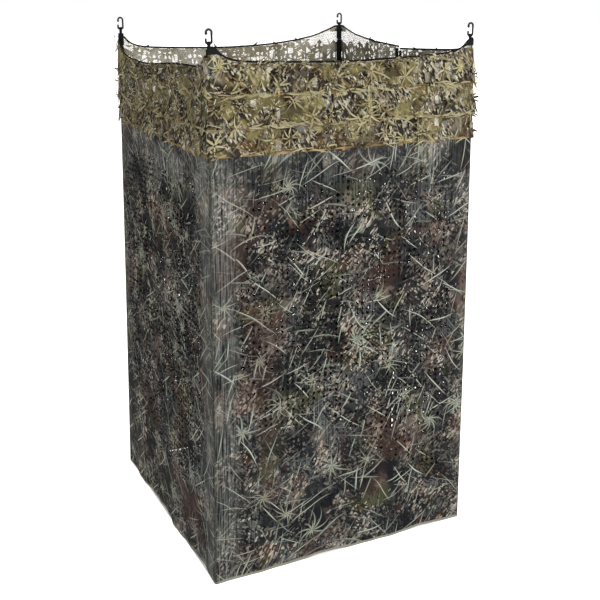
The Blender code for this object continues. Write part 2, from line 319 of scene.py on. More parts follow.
class Print(Nodes):
    """Nodes of a printed cloth, whose colour is laid on in layers."""

    def __init__(self, tree):
        super().__init__(tree)
        self.spot = self.print_map()
        self.colour = None

    def streaks(self, across, along):
        """Noise drawn out along the cloth."""
        return self.noise(self.vector("MULTIPLY", self.spot, (across, along, 1.0)), 1.0, 3.0)

    def cloud(self, x, y, scale, detail=3.0):
        return self.noise(self.vector("ADD", self.spot, (x, y, 0.0)), scale, detail)

    def lay(self, share, above):
        """Cover a share of the colour with another."""
        self.colour = self.mix(share, self.colour, above)

    def grass(self, tree, inputs, dark, light):
        mask, shade = self.wire("Group", {"node_tree": tree}, {"Vector": self.spot, **inputs},
                                "Mask", "Shade")
        self.lay(mask, self.shade(shade, dark, light))

    def blades(self, *layers):
        for angle, width, length, seed, density, dark, light in layers:
            self.grass(BLADES, {"Angle": math.radians(angle), "Width": width, "Length": length,
                                "Seed": seed, "Density": density}, dark, light)

    def stars(self, *layers):
        for cell, seed, blade, density, dark, light in layers:
            self.grass(STARS, {"Cell": cell, "Seed": seed, "Blade": blade,
                               "Density": density}, dark, light)

    def patches(self, *layers):
        """Cloudy patches, one dye after the other."""
        for amount, code, scale, seed, low, high in layers:
            cloud = self.step(self.cloud(seed, -seed, scale), low, high)
            self.lay(cloud * amount, dye(code))

    def flecks(self, angle, width, length, seed, dark, light):
        """Small broken bits of leaf, crowded together in patches."""
        turned = self.turned(self.spot, math.radians(angle))
        tint, _ = self.cells(self.vector("DIVIDE", turned, (width, length, 1.0)))
        red, green, _ = self.parts(tint)
        crowd = self.cloud(seed, 2.0 * seed, 7.0, 2.0)
        there = self.math("GREATER_THAN", green + crowd * 1.8, 1.62)
        self.lay(there * 0.85, self.shade(red, dark, light))


def start_material(name, roughness, specular, kind=Nodes):
    """A material with one Principled shader."""
    made = bpy.data.materials.new(name)
    made.use_nodes = True
    nodes = kind(made.node_tree)
    nodes.send("Roughness", roughness)
    nodes.send("Specular IOR Level", specular)
    return made, nodes


def woven(nodes, along, aside, threads):
    """Crossing threads: 1 on top of a crossing and -1 in a gap."""
    return nodes.sine(along * (FULL_TURN * threads)) * nodes.sine(aside * (FULL_TURN * threads))


def finish_cloth(cloth, threads, strength):
    """Colour, fine crossing threads and soft creases."""
    cloth.send("Base Color", cloth.colour)
    x, y, _ = cloth.parts(cloth.spot)
    height = woven(cloth, x, y, threads) * 0.08 + cloth.noise(cloth.spot, 28.0, 3.0)
    cloth.bump(height, strength, 0.004)


def finish_print(cloth, power, gain, roughness):
    """Contrast, uneven roughness and weave of the printed cloths."""
    cloth.colour = cloth.contrast(cloth.colour, power, gain)
    cloth.send("Roughness", cloth.noise(cloth.spot, 60.0) * 0.15 + roughness)
    finish_cloth(cloth, 900.0, 0.5)


def reed_print():
    """Dark marsh reed print of the lower walls."""
    made, cloth = start_material("reed_print", 0.9, 0.06, Print)
    streak = cloth.streaks(210.0, 9.0)
    cloth.colour = cloth.shade(cloth.step(streak, 0.25, 0.75), "#26272a", "#6c6c68")
    cloth.patches(
        (0.85, "#232426", 5.0, 3.1, 0.46, 0.60),
        (0.80, "#51382f", 7.0, 8.7, 0.58, 0.68),
        (0.70, "#545339", 5.5, 21.4, 0.55, 0.65),
        (0.60, "#7a6a60", 9.0, 45.0, 0.60, 0.68))
    cloth.blades(
        (8, 0.010, 0.11, 1.3, 0.40, "#34353a", "#5d5f5a"),
        (-24, 0.010, 0.10, 7.1, 0.50, "#17181a", "#28292b"),
        (62, 0.010, 0.10, 4.9, 0.30, "#393b37", "#74766a"),
        (-58, 0.010, 0.10, 9.4, 0.45, "#1b1c1d", "#4c4e48"))
    cloth.flecks(35, 0.0055, 0.013, 5.0, "#5f544d", "#b8ae9d")
    cloth.blades(
        (24, 0.015, 0.13, 2.2, 0.24, "#454740", "#8a8c80"),
        (-12, 0.008, 0.09, 12.5, 0.45, "#131416", "#3e403b"),
        (-38, 0.016, 0.15, 3.7, 0.18, "#565950", "#97998a"),
        (92, 0.010, 0.11, 6.6, 0.24, "#45453f", "#84857b"))
    cloth.flecks(-50, 0.0050, 0.011, 9.0, "#0e0f10", "#2c2b29")
    cloud = cloth.cloud(13.0, 5.0, 6.5)
    deep = cloth.mix(0.60, cloth.colour, dye("#1c1d20"))
    cloth.colour = cloth.mix(cloth.step(cloud, 0.42, 0.58), deep, cloth.colour)
    cloth.stars(
        (0.20, 2.6, 0.030, 0.26, "#5a5d53", "#9c9d8e"),
        (0.16, 8.3, 0.024, 0.24, "#5f6053", "#a6a391"))
    cloth.blades(
        (44, 0.0095, 0.19, 15.2, 0.36, "#4d4f47", "#a2a396"),
        (-78, 0.0090, 0.18, 17.9, 0.34, "#4a4a43", "#97988b"),
        (18, 0.0075, 0.17, 19.3, 0.42, "#62645a", "#b4b5a5"),
        (-48, 0.0072, 0.20, 23.7, 0.38, "#727568", "#c6c5b4"),
        (70, 0.0070, 0.19, 27.1, 0.36, "#6b6d62", "#bebeae"))
    cloth.patches((0.35, "#5b443b", 4.0, 33.0, 0.55, 0.68))
    _, height, _ = cloth.parts(cloth.spot)
    upper = cloth.step(height, MARGIN_HIGH - 0.11, MARGIN_HIGH + 0.03)
    plain = upper * (cloth.step(cloud, 0.46, 0.60) * 0.26 + 0.10)
    side = cloth.step(cloth.attribute("Margin"), 0.08, 0.52) * 0.31
    plain = cloth.math("MAXIMUM", plain, side)
    cloth.lay(plain, cloth.shade(cloth.step(streak, 0.32, 0.62), "#222325", "#9a9a92"))
    edge = cloth.step(height, CLOTH_LOW + 0.004, CLOTH_LOW + 0.009)
    cloth.colour = cloth.mix(edge, dye("#8d8a7c"), cloth.colour)
    cloth.lay(cloth.attribute("Seam") * 0.6, dye("#3f4033"))
    finish_print(cloth, 1.24, 1.95, 0.82)
    return made


def brush_print():
    """Straw and brush print of the leafy strips."""
    made, cloth = start_material("brush_print", 0.88, 0.06, Print)
    streak = cloth.streaks(90.0, 30.0)
    cloth.colour = cloth.shade(cloth.step(streak, 0.3, 0.7), "#443d33", "#857b66")
    cloth.patches(
        (0.95, "#2b2622", 11.0, 2.7, 0.45, 0.54),
        (0.85, "#67502f", 8.0, 14.2, 0.54, 0.63),
        (0.75, "#8b857c", 9.0, 23.9, 0.54, 0.64),
        (0.80, "#4b5146", 8.0, 41.3, 0.57, 0.65))
    cloth.blades(
        (12, 0.008, 0.07, 1.9, 0.55, "#2b2620", "#4f4536"),
        (70, 0.008, 0.08, 5.3, 0.45, "#6f6144", "#a3966f"),
        (-66, 0.007, 0.08, 8.8, 0.45, "#5c4a30", "#978a66"),
        (-18, 0.006, 0.07, 3.4, 0.50, "#2c2722", "#6f664f"),
        (88, 0.005, 0.09, 11.6, 0.40, "#8f845f", "#d8cfac"),
        (30, 0.006, 0.07, 14.1, 0.40, "#8a7e5e", "#cfc49d"),
        (-40, 0.005, 0.07, 17.7, 0.40, "#776a50", "#c3b994"))
    cloth.flecks(20, 0.008, 0.016, 3.0, "#171412", "#3b342c")
    cloth.flecks(-35, 0.005, 0.012, 8.0, "#8d7c60", "#ddd5ba")
    cloth.stars((0.13, 5.2, 0.036, 0.75, "#857a54", "#cbc093"))
    cloth.patches(
        (0.50, "#6a5436", 6.0, 52.0, 0.54, 0.65),
        (0.55, "#9d9160", 7.0, 71.0, 0.55, 0.63),
        (0.60, "#392e26", 9.0, 77.0, 0.56, 0.63))
    _, drop, _ = cloth.parts(cloth.spot)
    fray = cloth.noise(cloth.vector("MULTIPLY", cloth.spot, (45.0, 8.0, 1.0)), 1.0)
    above = cloth.step(drop + fray * 0.022, STRAW_LINE + 0.020, STRAW_LINE + 0.015)
    below = cloth.step(drop, STRAW_LINE - 0.024, STRAW_LINE - 0.016)
    straw = cloth.mix(cloth.step(cloth.noise(cloth.spot, 6.0), 0.50, 0.60),
                      cloth.shade(streak, "#8f8259", "#d6cca6"), dye("#89714c"))
    cloth.lay(above * below * 0.75, straw)
    finish_print(cloth, 1.14, 1.32, 0.80)
    return made


def net_cloth():
    """Open knitted netting: beige threads round small holes."""
    made, cloth = start_material("knitted_net", 0.85, 0.08, Print)
    x, height, _ = cloth.parts(cloth.spot)
    pitch = FULL_TURN / NET_PITCH
    across, back = cloth.sine((x + height) * pitch), cloth.sine((x - height) * pitch)
    cloud = cloth.noise(cloth.spot, 9.0, 3.0)
    cloth.colour = cloth.shade(cloth.step(cloud, 0.35, 0.65), "#c4bb9f", "#f0ead8")
    cloth.patches((0.6, "#84795a", 7.0, 61.0, 0.50, 0.62))
    selvedge = cloth.step(height, BAND_LOW + 0.011, BAND_LOW + 0.009)
    broad = cloth.step(cloud, 0.4, 0.6)
    cloth.lay(selvedge, cloth.shade(broad, "#887149", "#b59a6c"))
    seam = cloth.step(cloth.attribute("Seam"), 0.02, 0.18)
    cloth.lay(seam, cloth.shade(broad, "#4b4a34", "#6b6647"))
    hole = cloth.step(abs(across * back), 0.40, 0.52)
    hole = hole * (1.0 - cloth.math("MAXIMUM", selvedge, seam))
    cloth.send("Alpha", 1.0 - hole)
    finish_cloth(cloth, 240.0, 0.3)
    return made


def webbing(name, dark, light, roughness, threads=260.0, mapped=True):
    """Woven tape: crossing rows of raised threads, worn in places."""
    made, nodes = start_material(name, roughness, 0.10)
    spot = nodes.print_map() if mapped else nodes.solid_map()
    x, y, z = nodes.parts(spot)
    rib = woven(nodes, x, y, threads) if mapped else woven(nodes, x + y, z, threads)
    worn = nodes.noise(spot, 35.0, 4.0, flat=False)
    share = nodes.step(rib * 0.22 + worn, 0.3, 0.8)
    nodes.send("Base Color", nodes.mix(share, srgb(dark), srgb(light)))
    nodes.send("Roughness", worn * 0.25 + (roughness - 0.12))
    nodes.bump(rib, 0.4, 0.0006)
    return made


def hard_plastic(name, dark, light, roughness, grain, depth):
    """Moulded or drawn black surface with fine grain and rubbed patches."""
    made, nodes = start_material(name, roughness, 0.18)
    spot = nodes.solid_map()
    rubbed = nodes.noise(spot, 40.0, flat=False)
    share = nodes.step(rubbed, 0.45, 0.75)
    nodes.send("Base Color", nodes.mix(share, srgb(dark), srgb(light)))
    nodes.send("Roughness", rubbed * 0.3 + (roughness - 0.12))
    nodes.bump(nodes.noise(spot, grain, 3.0, flat=False), 0.35, depth)
    return made


REED = reed_print()
BRUSH = brush_print()
NET = net_cloth()
TAPE = webbing("black_tape", "#070708", "#161718", 0.80)


# ==================================================================== walls
def new_object(name, data):
    made = bpy.data.objects.new(name, data)
    bpy.context.scene.collection.objects.link(made)
    return made


def edge_heights(node, start, heading):
    """The upper edge of a CAD panel, as distances along it and heights."""
    top = {}
    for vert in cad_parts[node].data.vertices:
        along = round((vert.co.xy - start).dot(heading), 5)
        top[along] = max(top.get(along, 0.0), vert.co.z)
    stations = sorted(top)
    return stations, [top[s] for s in stations]


class Wall:
    """One cloth wall, measured along it from its first pole."""

    def __init__(self, name, corners, heading, out, body, pairs):
        self.name = name
        self.body = body
        self.pairs = pairs
        side = {"front": -1, "back": 1, "left": -1, "right": 1}
        row, end = corners[0].split("_")
        self.start = Vector((side[end] * POLE_OFFSET, side[row] * POLE_OFFSET))
        self.heading = Vector(heading)
        self.out = Vector(out)
        self.door = len(corners) == 1
        self.length = POLE_OFFSET - DOOR_GAP / 2.0 if self.door else 2.0 * POLE_OFFSET
        self.spread = (FLARE[corners[0]], FLARE[corners[-1]])
        self.full = name in ("front", "left")      # its leaves lie fuller than the others'
        self.seams = 1 if self.door else 2
        self.width = self.length + CORNER_TAKE_UP * self.seams
        self.hem = edge_heights(name + "_mesh_band", self.start, self.heading)
        ends = [0.0, CORNER_PART, self.width - CORNER_PART, self.width]
        if self.door:
            ends.pop(2)
        self.parts = list(zip(("start", "main", "end"), ends, ends[1:]))

    def offset(self, share, z):
        """How far the cloth hangs outside the pole axes."""
        flare, power = [a + (b - a) * share for a, b in zip(*self.spread)]
        rise = np.clip(1.0 - z / TOP_HEIGHT, 0.0, 1.0) ** power
        return TOP_OFFSET + (flare - TOP_OFFSET) * rise

    def ripple(self, s, z):
        """Loose waves and creases of the hanging cloth, none at the seams."""
        ends = s if self.door else np.minimum(s, self.width - s)
        window = np.clip(ends / RIPPLE_WINDOW, 0.0, 1.0)
        window = window * window * (3.0 - 2.0 * window)
        low = np.clip(1.0 - z / BAND_LOW, 0.0, 1.0)
        seed = sum(map(ord, self.name)) * 0.37
        turns = FULL_TURN * s
        wave = 0.0055 * np.cos(turns / 0.43 + seed) * low ** 1.2
        wave += 0.0022 * np.sin(turns / 0.19 + 3.0 * z + seed)
        wave += 0.0012 * np.sin(turns / 0.083 - 2.1 * z + 2.0 * seed)
        wave += 0.0011 * np.sin(FULL_TURN * z / 0.31 + 5.0 * s + seed)
        for fold in FOLD_CREASES:
            gap = (s - fold * self.width - 0.006 * np.sin(4.0 * z + seed)) / 0.011
            wave += 0.0022 * np.exp(-gap * gap) * np.clip(z / 0.3, 0.0, 1.0)
        return window * (wave - 0.0035 * low)

    def place(self, spots):
        """Frame points for rows of distance from the seam, height and lift."""
        s, z, lift = np.array(spots, float).T
        share = s / self.width
        off = self.offset(share, z)
        first, last = self.offset(0.0, z), self.offset(1.0, z)
        span = self.length + first + (0.0 if self.door else last)
        run = share * span
        radius = np.minimum(CORNER_RADIUS, off)
        along, out = run - first, off + lift + self.ripple(s, z)
        near = [(run, 1.0, -first)]
        if not self.door:
            near.append((span - run, -1.0, self.length + last))
        for gap, way, corner in near:
            bent = gap < radius
            turn = (1.0 - np.clip(gap / radius, 0.0, 1.0)) * math.pi / 4.0
            around = corner + way * (radius - (radius + lift) * np.sin(turn))
            along = np.where(bent, around, along)
            out = np.where(bent, off - radius + (radius + lift) * np.cos(turn), out)
        points = np.zeros((len(s), 3))
        for axis in (0, 1):
            points[:, axis] = (self.start[axis] + along * self.heading[axis]
                               + out * self.out[axis])
        points[:, 2] = z
        return points

    def top(self, s):
        """Height of the netting's upper edge."""
        along = s / self.width * (self.length + TOP_OFFSET * self.seams) - TOP_OFFSET
        return float(np.interp(along, *self.hem))


PAIRS = {
    "front_left": ("front_wall", "left_wall"),
    "back_left": ("left_wall", "back_wall"),
}
WALLS = [
    Wall("front", ("front_left", "front_right"), (1, 0), (0, -1), "front_wall",
         (PAIRS["front_left"], ("front_wall", "front_right_post"))),
    Wall("left", ("front_left", "back_left"), (0, 1), (-1, 0), "left_wall",
         (PAIRS["front_left"], PAIRS["back_left"])),
    Wall("back", ("back_left", "back_right"), (1, 0), (0, 1), "back_wall",
         (PAIRS["back_left"], ("back_wall", "back_right_post"))),
    Wall("door_rear", ("back_right",), (0, -1), (1, 0), "door_rear_flap",
         (("back_right_post", "door_rear_flap"),)),
    Wall("door_front", ("front_right",), (0, 1), (1, 0), "door_front_flap",
         (("front_right_post", "door_front_flap"),)),
]


def attach(piece, wall, part):
    """Ride on the wall's body; a corner piece only has its placement baked into its mesh."""
    if part == "main":
        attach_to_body(piece, wall.body)
        return
    pair = wall.pairs[0 if part == "start" else 1]
    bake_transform(piece)


class Skin:
    """Points and faces laid out on one wall."""

    def __init__(self, wall):
        self.wall = wall
        self.spots = []
        self.prints = []
        self.seams = []
        self.margins = []
        self.faces = []

    def mark(self, s, z):
        """Where a place on the wall lies on the printed cloth."""
        return PRINT_START[self.wall.name] + s, z

    def add(self, s, z, lift, printed):
        self.spots.append((s, z, lift))
        self.prints.append(printed)
        wall = self.wall
        ends = s if wall.door else min(s, wall.width - s)
        self.seams.append(max(0.0, 1.0 - abs(ends) / SEAM_REACH))
        far = 0.0 if wall.door else 0.25 - (wall.width - s) / FADE_FAR
        self.margins.append(max(0.0, 1.0 - abs(s) / FADE_NEAR, far))
        return len(self.spots) - 1

    def quads(self, table, flip=False):
        """Faces between the neighbouring columns of a grid."""
        for a, b in zip(table, table[1:]):
            for k in range(len(a) - 1):
                self.faces.append((a[k], a[k + 1], b[k + 1], b[k]) if flip
                                  else (a[k], b[k], b[k + 1], a[k + 1]))

    def sew(self, kind, part, material, thickness=0.0, offset=0.0):
        """Make the piece, thicken it if asked, and let a main piece move with its wall."""
        name = kind + "_" + self.wall.name + ("" if part == "main" else "_" + part)
        mesh = bpy.data.meshes.new(name)
        mesh.from_pydata(self.wall.place(self.spots).tolist(), [], self.faces)
        layer = mesh.uv_layers.new(name="Print")
        order = np.zeros(len(mesh.loops), np.int32)
        mesh.loops.foreach_get("vertex_index", order)
        layer.data.foreach_set("uv", np.array(self.prints, np.float32)[order].ravel())
        for label, values in (("Seam", self.seams), ("Margin", self.margins)):
            layer = mesh.attributes.new(label, "FLOAT", "POINT")
            layer.data.foreach_set("value", np.array(values, np.float32))
        mesh.materials.append(material)
        mesh.shade_smooth()
        piece = new_object(name, mesh)
        if thickness:
            thick = piece.modifiers.new("thickness", "SOLIDIFY")
            thick.thickness = thickness
            thick.offset = offset
        attach(piece, self.wall, part)
        return piece


def lines(low, high, pitch):
    count = max(1, round((high - low) / pitch))
    return [low + (high - low) * k / count for k in range(count + 1)]


def columns(first, last, pitch, part):
    """Column places, closer together round a corner seam."""
    if part == "main":
        return lines(first, last, pitch)
    tight = SEAM_COLUMNS + [0.030, 0.044, 0.058]
    if part == "start":
        return tight + [last]
    return [first] + [last - s for s in reversed(tight)]


# ---------------------------------------------------------------- cut cloth
def leaf_hole(rng, s, z, long_half, wide_half):
    """A leaf outline round a point, counter-clockwise, and the way to place its points."""
    turn = rng.uniform(0.0, FULL_TURN)
    ahead, aside = (math.cos(turn), math.sin(turn)), (-math.sin(turn), math.cos(turn))
    right = [(t, -w * rng.uniform(0.75, 1.2)) for t, w in LEAF_OUTLINE[:3]]
    left = [(t, w * rng.uniform(0.75, 1.2)) for t, w in LEAF_OUTLINE[:3]]
    local = right + [LEAF_OUTLINE[3]] + list(reversed(left))

    def spot(t, w):
        return (s + long_half * t * ahead[0] + wide_half * w * aside[0],
                z + long_half * t * ahead[1] + wide_half * w * aside[1])
    return local, spot


def cut_cell(skin, rng, corners, pitch, room, opening, printed, wide=(0.21, 0.33)):
    """One grid cell with a leaf cut out of it and lifted on its hinge."""
    spots = [skin.spots[i] for i in corners]
    s, z, base = [sum(p[axis] for p in spots) / 4.0 for axis in range(3)]
    long_half = pitch * rng.uniform(0.27, 0.46)
    wide_half = pitch * rng.uniform(*wide)
    local, spot = leaf_hole(rng, s, z, long_half, wide_half)
    rim = [skin.add(*spot(t, w), base, printed(*spot(t, w))) for t, w in local]
    count = len(rim)
    nearest = []
    for i in range(count):
        a, b = skin.spots[rim[i]], skin.spots[rim[(i + 1) % count]]
        mid = math.atan2((a[1] + b[1]) / 2.0 - z, (a[0] + b[0]) / 2.0 - s)
        gaps = [abs(math.remainder(mid - math.atan2(p[1] - z, p[0] - s), FULL_TURN))
                for p in spots]
        nearest.append(gaps.index(min(gaps)))
    for i in range(count):
        here, after = nearest[i], nearest[(i + 1) % count]
        skin.faces.append((rim[(i + 1) % count], rim[i], corners[here]))
        while here != after:
            step = (here + 1) % 4
            skin.faces.append((rim[(i + 1) % count], corners[here], corners[step]))
            here = step
    tilt = rng.uniform(*opening)
    curl = rng.uniform(-0.25, 0.55)
    hinge = LEAF_OUTLINE[0][0]
    rows = []
    for k, (t, _) in enumerate(LEAF_OUTLINE):
        reach = t - hinge
        lean = tilt * (1.0 + curl * reach)
        flat_t = hinge + reach * math.cos(lean)
        rise = long_half * reach * math.sin(lean)
        lift = base + 0.0004 + room * math.tanh(rise / room)
        pair = [local[3]] if k == 3 else [local[k], local[6 - k]]
        rows.append([skin.add(*spot(flat_t, w), lift, printed(*spot(t, w)))
                     for _, w in pair])
    for low, high in zip(rows, rows[1:]):
        skin.faces.append((low[0], *high, low[1]))


def sheet_grid(skin, cols, heights, jitter, rng, lift, printed):
    """A grid of points; heights(s) lists the rows of one column."""
    table = []
    for i, s in enumerate(cols):
        stack = heights(s)
        column = []
        for j, z in enumerate(stack):
            inner = 0 < i < len(cols) - 1 and 0 < j < len(stack) - 1
            spot = [at + (rng.uniform(-jitter, jitter) if inner else 0.0) for at in (s, z)]
            column.append(skin.add(*spot, lift(*spot), printed(*spot)))
        table.append(column)
    return table


def cells(table):
    """Column, row and corner points of every cell of a grid."""
    for i, (a, b) in enumerate(zip(table, table[1:])):
        for j in range(len(a) - 1):
            yield i, j, (a[j], b[j], b[j + 1], a[j + 1])


def printed_wall(wall):
    """The lower, printed cloth with its field of cut leaves."""
    rng = random.Random("cloth " + wall.name)
    made = []
    seed = sum(map(ord, wall.name))
    rows = lines(CLOTH_LOW, BAND_LOW, CELL)
    lifted = 1.0 if wall.full else 0.035

    def heights(s):
        return [FOOT_LINE + 0.0004 + 0.0004 * math.sin(17.0 * s + seed)] + rows[1:]
    for part, first, last in wall.parts:
        skin = Skin(wall)
        cols = columns(first, last, CELL, part)
        jitter = CELL * 0.14 if part == "main" else 0.0
        table = sheet_grid(skin, cols, heights, jitter, rng, lambda s, z: 0.0, skin.mark)
        for i, j, corners in cells(table):
            s, z = cols[i], rows[j]
            side = min(s, wall.width - s + (0.05 if wall.door else 0.0))
            wander = 0.035 * math.sin(5.1 * z + seed) + 0.02 * math.sin(13.0 * s + seed)
            field = (side > MARGIN_SIDE + wander * 0.6
                     and MARGIN_LOW + 2.2 * wander < z < MARGIN_HIGH + wander * 0.5)
            thick = 0.5 + 0.5 * math.sin(23.0 * s + 2.6 * math.sin(11.0 * z + 7.0 * s) + seed)
            if part == "main" and field and rng.random() < 0.38 + 0.58 * thick:
                opening = (0.5, 1.2) if rng.random() < lifted else (0.03, 0.20)
                cut_cell(skin, rng, corners, CELL, 0.0035 + 0.007 * z, opening, skin.mark)
            else:
                skin.faces.append(corners)
        piece = skin.sew("print_cloth", part, REED)
        if part == "main":
            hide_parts(wall.name + "_camo_panel")
        made.append((piece, last - first))
    return made


def netting(wall):
    """The see-through band behind the leafy strips."""
    made = []
    low = BAND_LOW - NET_TUCK
    for part, first, last in wall.parts:
        skin = Skin(wall)
        table = []
        for s in columns(first, last, 0.015, part):
            rise = (wall.top(s) - low) / NET_ROWS
            heights = [low + rise * k for k in range(NET_ROWS + 1)]
            table.append([skin.add(s, z, -0.0002, skin.mark(s, z)) for z in heights])
        skin.quads(table)
        piece = skin.sew("net_band", part, NET)
        if part == "main":
            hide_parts(wall.name + "_mesh_band")
        made.append((piece, last - first))
    return made


# -------------------------------------------------------------- leafy rows
def ribbon(skin, rng, s, z, length, width, heading, base, curl, straw=False):
    """One loose leaf: a tapered, twisted strip that curls away from the wall."""
    steps = 5
    u0, v0 = PRINT_START[skin.wall.name] + rng.uniform(0.0, 1.0), rng.uniform(0.0, 1.0)
    fall = length
    if straw:
        v0, fall = STRAW_LINE, 0.0
    twist = rng.uniform(-1.1, 1.1)
    bow = rng.uniform(-0.35, 0.35)
    rows = []
    for k in range(steps + 1):
        t = k / steps
        swing = heading + bow * t
        mid_s = s + math.sin(swing) * length * t
        mid_z = z - math.cos(swing) * length * t
        rise = base + curl * math.sin(math.pi * min(1.0, 0.15 + 0.6 * t)) * t
        if k == steps:
            rows.append([skin.add(mid_s, mid_z, max(base, rise), (u0, v0 - fall))])
            continue
        half = 0.5 * width * math.sin(math.pi * (0.14 + 0.86 * t)) ** 0.7
        roll = twist * t
        across = (math.cos(swing) * half * math.cos(roll), math.sin(swing) * half * math.cos(roll))
        tip = half * math.sin(roll)
        rows.append([
            skin.add(mid_s - across[0], mid_z - across[1], max(base, rise - tip),
                     (u0 - half, v0 - fall * t)),
            skin.add(mid_s + across[0], mid_z + across[1], max(base, rise + tip),
                     (u0 + half, v0 - fall * t))])
    for low, high in zip(rows, rows[1:]):
        skin.faces.append((low[1], low[0], *high))


class Row:
    """One leafy strip of a wall, counted from the top."""

    def __init__(self, wall, number):
        self.wall = wall
        self.number = number
        self.sewn = ROW_TOPS[number]
        self.lowest = ROW_ENDS[number]
        self.count = round((self.sewn - self.lowest) / ROW_CELL)
        self.ragged = 0.010 if wall.name == "left" else 0.004

    def start(self, s):
        """Height of the strip's upper edge."""
        if self.number:
            return self.sewn
        ragged = 0.009 * math.sin(88.0 * s) + 0.006 * math.sin(203.0 * s)
        reach = 0.034 if self.wall.full else ragged - 0.004
        return min(self.wall.top(s) - 0.0015, self.sewn + reach)

    def lift(self, s, z):
        """How far it stands off the netting, more towards its lower edge."""
        hang = min(1.0, max(0.0, (self.sewn - z) / (self.sewn - self.lowest)))
        wave = 0.5 + 0.5 * math.sin(31.0 * s + 2.0 * self.number)
        return 0.0012 + 0.0012 * (2 - self.number) + (0.004 + 0.006 * wave) * hang ** 1.4

    def mark(self, s, z):
        """Place on the print, whose straw-coloured line runs along the lower edge."""
        return (PRINT_START[self.wall.name] + s + 0.355 * self.number,
                STRAW_LINE + z - self.lowest + (0.4 if self.number == 2 else 0.0))

    def heights(self, s):
        ragged = self.ragged * (math.sin(57.0 * s + 3.0 * self.number)
                                + 0.6 * math.sin(131.0 * s))
        return [self.lowest + ragged] + [
            self.lowest + (self.start(s) - self.lowest) * k / self.count
            for k in range(1, self.count + 1)]


def hang_strip(skin, rng, row, cols, part):
    """The cut cloth of one row, with some cells left open."""
    full = row.wall.full
    jitter = ROW_CELL * 0.13 if part == "main" else 0.0
    table = sheet_grid(skin, cols, row.heights, jitter, rng, row.lift, row.mark)
    for i, j, corners in cells(table):
        if i % 2 and j < row.count - 1 and rng.random() < (0.16 if full else 0.46):
            continue
        if rng.random() < 0.80 and part == "main":
            cut_cell(skin, rng, corners, ROW_CELL, 0.012, (0.1, 0.7) if full else (0.8, 1.5),
                     row.mark, (0.20, 0.33) if full else (0.34, 0.46))
        else:
            skin.faces.append(corners)


def hang_leaves(skin, rng, row, first, last, edge):
    """Single leaves, then star-shaped tufts, then straws along the lower edge."""
    draw = rng.uniform
    for _ in range(int((last - first) / 0.030)):
        s = draw(first + END_ROOM, edge)
        z = draw(row.lowest + 0.02, row.start(s) - 0.002)
        ribbon(skin, rng, s, z, draw(0.022, 0.060), draw(0.004, 0.009),
               draw(-1.5, 1.5), 0.004 + row.lift(s, z), draw(0.004, 0.022))
    for _ in range(round((last - first) / 0.062)):
        s = draw(first + 0.010, edge - 0.006)
        z = draw(row.lowest + 0.015, row.start(s) - 0.010)
        rays = rng.randrange(6, 9)
        straw = rng.random() < 0.45
        for k in range(rays):
            turn = FULL_TURN * (k + draw(-0.3, 0.3)) / rays - math.pi
            ribbon(skin, rng, s + 0.003 * math.sin(turn), z - 0.003 * math.cos(turn),
                   draw(0.018, 0.046), draw(0.0035, 0.0075), turn,
                   0.006 + row.lift(s, z), draw(0.003, 0.014), straw)
    for _ in range(int((last - first) / (0.024 if row.number < 2 else 0.050))):
        s = draw(first + END_ROOM, edge)
        z = row.lowest + draw(0.0, 0.014)
        ribbon(skin, rng, s, z, draw(0.030, 0.065), draw(0.003, 0.006),
               rng.choice((-1.0, 1.0)) * draw(1.2, 1.9), 0.006 + row.lift(s, z),
               draw(0.003, 0.009), straw=True)


def hem_leaves(skin, rng, first, last, edge):
    """Short leaves just under the binding, none where the hem climbs to a hook."""
    draw = rng.uniform
    for _ in range(int((last - first) / 0.0075)):
        s = draw(first + END_ROOM, edge)
        rim = skin.wall.top(s)
        if rim > ROW_TOPS[0] + 0.022:
            continue
        ribbon(skin, rng, s, rim - draw(-0.001, 0.012), draw(0.018, 0.040),
               draw(0.005, 0.009), rng.choice((-1.0, 1.0)) * draw(0.7, 2.0),
               0.0045, draw(0.002, 0.010))


def leafy_rows(wall):
    """Three overlapping strips of cut leaf cloth and the loose leaves on them."""
    rng = random.Random("leaves " + wall.name)
    made = []
    for part, first, last in wall.parts:
        strips, tufts = Skin(wall), Skin(wall)
        edge = last - (DOOR_EDGE_ROOM if wall.door and part == "main" else END_ROOM)
        cols = columns(first, last, ROW_CELL, part)
        for number in range(len(ROW_TOPS)):
            row = Row(wall, number)
            hang_strip(strips, rng, row, cols, part)
            hang_leaves(tufts, rng, row, first, last, edge)
        hem_leaves(tufts, rng, first, last, edge)
        piece = strips.sew("leaf_rows", part, BRUSH)
        loose = tufts.sew("loose_leaves", part, BRUSH)
        if part == "main":
            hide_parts(*[wall.name + "_leaf_strip_" + r for r in ROWS])
        made.append((piece, loose, last - first))
    return made


# ------------------------------------------------------------------ binding
def binding(wall):
    """Black tape folded over the netting's upper edge."""
    made = []
    sides = 8
    turns = [FULL_TURN * k / sides for k in range(sides)]
    ring = [(TAPE_HALF[0] * math.cos(turn), TAPE_HALF[1] * math.sin(turn)) for turn in turns]
    for part, first, last in wall.parts:
        skin = Skin(wall)
        loops = []
        for s in columns(first, last, 0.010, part):
            middle = wall.top(s) + 0.0028
            loops.append([skin.add(s, middle + dz, out, (s, 0.01 * k))
                          for k, (out, dz) in enumerate(ring)])
        for a, b in zip(loops, loops[1:]):
            for k in range(sides):
                n = (k + 1) % sides
                skin.faces.append((a[k], a[n], b[n], b[k]))
        skin.faces.append(tuple(reversed(loops[0])))
        skin.faces.append(tuple(loops[-1]))
        piece = skin.sew("top_binding", part, TAPE)
        if part == "main":
            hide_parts(wall.name + "_top_hem")
        made.append(piece)
    return made


